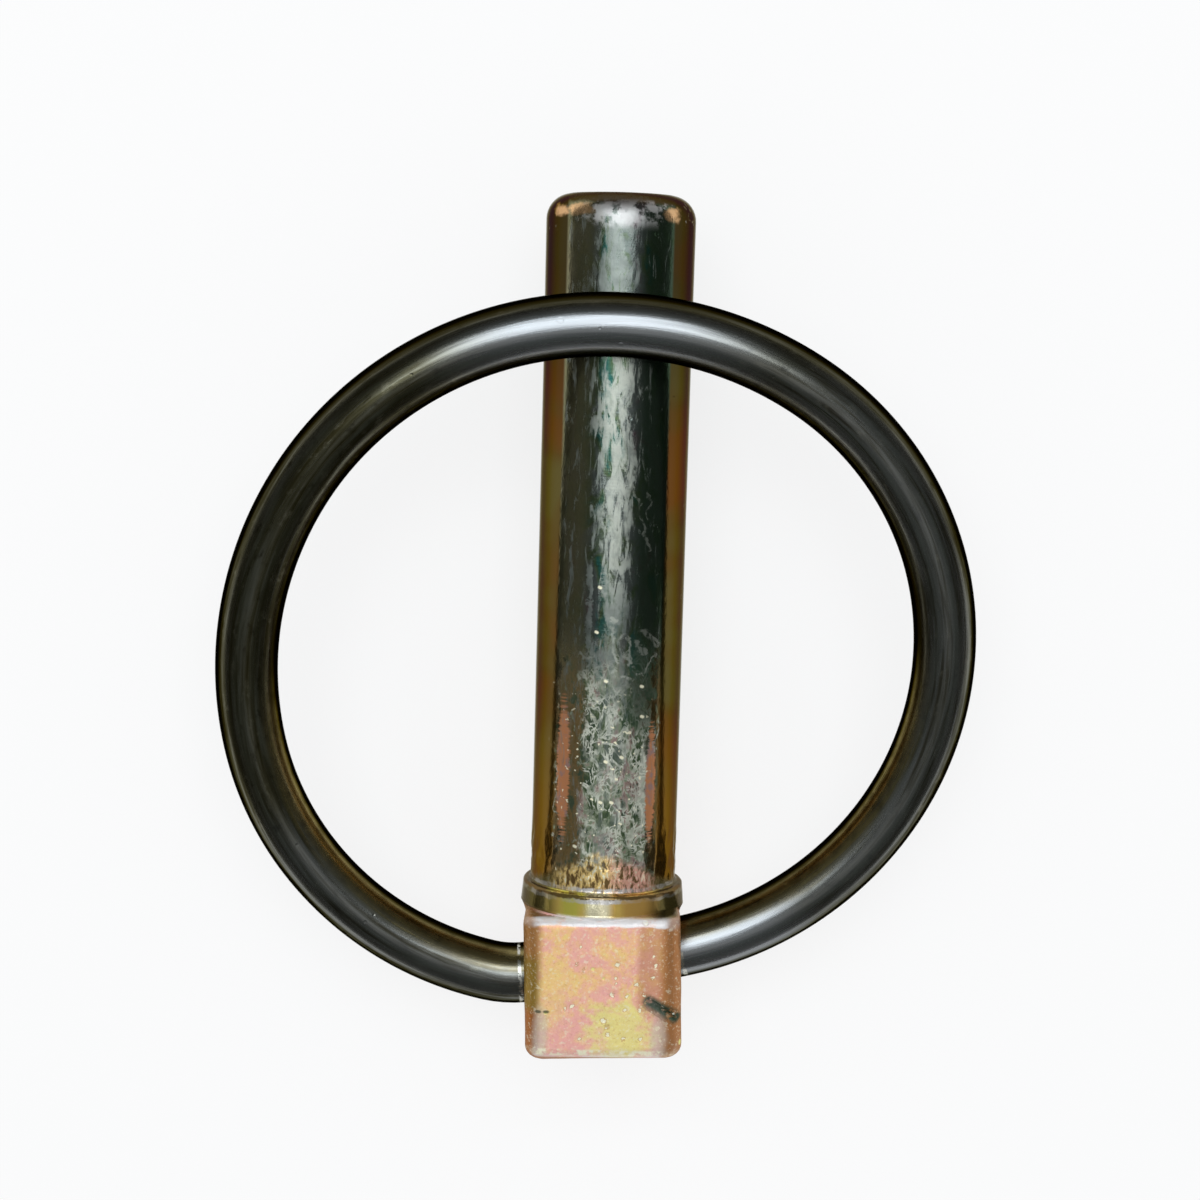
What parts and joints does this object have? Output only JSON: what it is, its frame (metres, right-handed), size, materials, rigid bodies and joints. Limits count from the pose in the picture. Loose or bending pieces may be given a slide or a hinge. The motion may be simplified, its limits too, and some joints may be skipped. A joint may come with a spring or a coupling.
{
  "type": "latch pin",
  "caption": "Round plated pin with a square head and a sprung wire ring that closes over the shank to keep it in its hole.",
  "frame": {"origin": "on the pin's axis at the shoulder, where the shank leaves the head", "axes": "+Y along the shank to its tip, +X to the right, +Z out of the front of the head, the side on which the ring closes; the part lies on the back of its head"},
  "size_m": [0.0561, 0.0642, 0.0167],
  "materials": {
    "plated_steel": "yellow iridescent zinc plating over forged and turned steel, worn",
    "dark_spring_wire": "smooth dark oil-tempered spring wire, rubbed in places"
  },
  "bodies": {
    "pin": {"pin_body": "plated_steel"},
    "ring": {"spring_ring": "dark_spring_wire"}
  },
  "joints": [
    {"name": "ring_swing", "type": "hinge", "parent": "pin", "child": "ring", "pos_m": [0, -0.00648, 0], "axis": [0.9807, 0.1953, 0], "range_deg": [0, 341], "stiffness_Nm_per_rad": 0.06, "springref_deg": -57.3}
  ]
}
